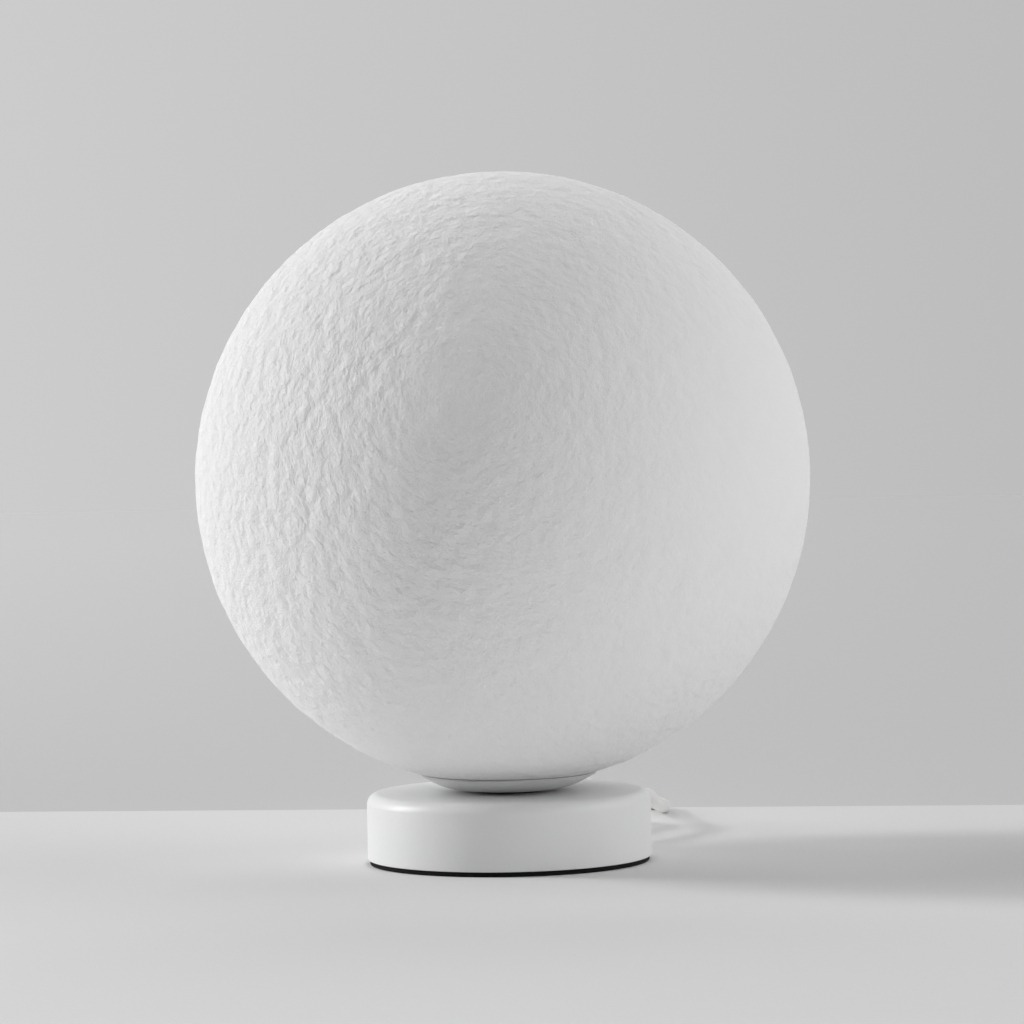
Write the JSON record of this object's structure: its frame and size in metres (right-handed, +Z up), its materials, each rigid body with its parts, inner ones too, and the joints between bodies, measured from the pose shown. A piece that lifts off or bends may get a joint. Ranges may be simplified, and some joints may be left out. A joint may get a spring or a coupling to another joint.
{
  "type": "moon lamp",
  "caption": "Table lamp with a finely grained white globe shade in a shallow dish on a low round weighted base, with bulb, corded rocker switch and flat plug.",
  "frame": {"origin": "centre of the underside of the black mat, on the table", "axes": "+Z up through the middle of the globe, -Y towards the front, the cord leaves at the back"},
  "size_m": [0.25, 0.341, 0.2813],
  "materials": {
    "globe_white": "matt white with a fine wrinkled grain",
    "white_paint": "satin white powder coat",
    "black_rubber": "matt black",
    "zinc_steel": "bright zinc plate",
    "weight_iron": "rough cast, dark",
    "brass": "turned brass",
    "holder_plastic": "moulded white",
    "holder_ceramic": "unglazed steatite",
    "nickel": "nickel plate",
    "black_insulator": "black insulator",
    "bulb_plastic": "moulded white",
    "led_board": "white solder mask",
    "milky_diffuser": "milky",
    "white_pvc": "soft white PVC",
    "switch_plastic": "moulded white",
    "core_insulation": "brown and blue core insulation"
  },
  "bodies": {
    "base": {"shade_dish": "white_paint", "base_housing": "white_paint", "dish_washer": "black_rubber", "foot_mat": "black_rubber", "locating_cup": "zinc_steel", "bottom_plate": "zinc_steel", "plate_screws": "zinc_steel", "tube_washer": "zinc_steel", "clamp_screws": "zinc_steel", "terminal_screws": "zinc_steel", "switch_terminal_screws": "zinc_steel", "switch_screws": "zinc_steel", "base_weight": "weight_iron", "lamp_tube": "brass", "tube_nuts": "brass", "holder_screw_shell": "brass", "holder_contacts": "brass", "holder_terminals": "brass", "switch_terminals": "brass", "switch_contact_strip": "brass", "holder_cap": "holder_plastic", "holder_body": "holder_plastic", "cord_clamp": "holder_plastic", "switch_grips": "holder_plastic", "holder_contact_block": "holder_ceramic", "plug_pins": "nickel", "strain_relief": "white_pvc", "inner_cord": "white_pvc", "cord_to_switch": "white_pvc", "cord_to_coil": "white_pvc", "cord_coil": "white_pvc", "cord_to_plug": "white_pvc", "coil_tie": "white_pvc", "plug_body": "white_pvc", "pin_sleeves": "white_pvc", "switch_base": "switch_plastic", "switch_cover": "switch_plastic", "holder_wires": "core_insulation", "switch_leads": "core_insulation"},
    "globe": {"moon_shade": "globe_white"},
    "bulb_lift": {"bulb_tip_contact": "nickel"},
    "bulb": {"bulb_cap": "nickel", "bulb_insulator": "black_insulator", "bulb_housing": "bulb_plastic", "led_board": "led_board", "bulb_diffuser": "milky_diffuser"},
    "rocker": {"switch_rocker": "switch_plastic", "switch_pivot": "zinc_steel"}
  },
  "joints": [
    {"name": "shade_lift", "type": "slide", "parent": "base", "child": "globe", "axis": [0, 0, 1], "range_m": [0, 0.12]},
    {"name": "bulb_rise", "type": "slide", "parent": "base", "child": "bulb_lift", "axis": [0, 0, 1], "range_m": [0, 0.011]},
    {"name": "bulb_turn", "type": "hinge", "parent": "bulb_lift", "child": "bulb", "pos_m": [0, 0, 0.0609], "axis": [0, 0, 1], "range_deg": [0, 1080]},
    {"name": "switch_rock", "type": "hinge", "parent": "base", "child": "rocker", "pos_m": [0.01, 0.204, 0.0116], "axis": [0, -1, 0], "range_deg": [0, 18]}
  ],
  "couplings": [
    {"joint": "bulb_rise", "follows": "bulb_turn", "m_per_rad": 0.00057773}
  ]
}
